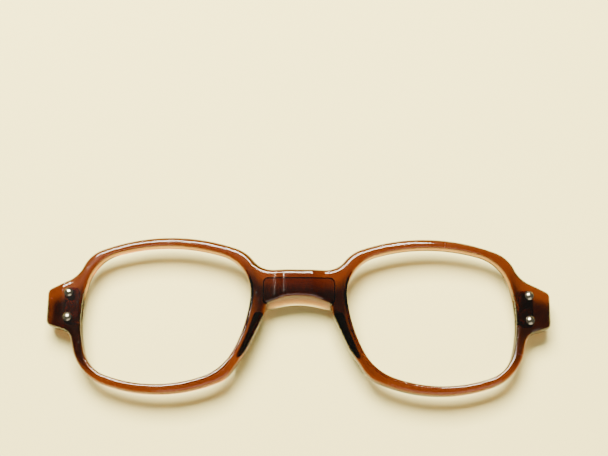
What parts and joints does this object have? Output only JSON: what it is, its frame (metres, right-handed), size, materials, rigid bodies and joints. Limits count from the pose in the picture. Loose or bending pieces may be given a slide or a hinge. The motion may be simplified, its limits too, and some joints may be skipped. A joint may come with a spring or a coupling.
{
  "type": "spectacle front",
  "caption": "Full rim acetate spectacle front without temples or lenses: rounded square eyes, saddle bridge, built-up nose pads, riveted hinge halves with screws.",
  "frame": {"origin": "midway between the eyes on the line through the eye centres, in the plane that the backs of the hinge barrels rest on: the bottom centre of the bounding box", "axes": "+X to the wearer's left across the face, +Y up to the brow, +Z forwards out of the face, so the front lies on its back with its face up"},
  "size_m": [0.133, 0.0418, 0.009],
  "materials": {
    "acetate": "polished translucent amber-brown acetate",
    "acetate_pad": "polished translucent amber-brown acetate",
    "hinge_metal": "brushed nickel silver, a copper alloy",
    "rivet_metal": "polished nickel silver, a copper alloy",
    "screw_steel": "turned steel"
  },
  "bodies": {
    "front": {"front": "acetate", "nose_pad_right": "acetate_pad", "nose_pad_left": "acetate_pad", "hinge_right": "hinge_metal", "rivet_right_upper": "rivet_metal", "rivet_right_lower": "rivet_metal", "hinge_left": "hinge_metal", "rivet_left_upper": "rivet_metal", "rivet_left_lower": "rivet_metal"},
    "hinge_screw_right": {"hinge_screw_right": "screw_steel"},
    "hinge_screw_left": {"hinge_screw_left": "screw_steel"}
  },
  "joints": [
    {"name": "unscrew_right", "type": "slide", "parent": "front", "child": "hinge_screw_right", "axis": [0, 1, 0], "range_m": [0, 0.006]},
    {"name": "unscrew_left", "type": "slide", "parent": "front", "child": "hinge_screw_left", "axis": [0, 1, 0], "range_m": [0, 0.006]}
  ]
}
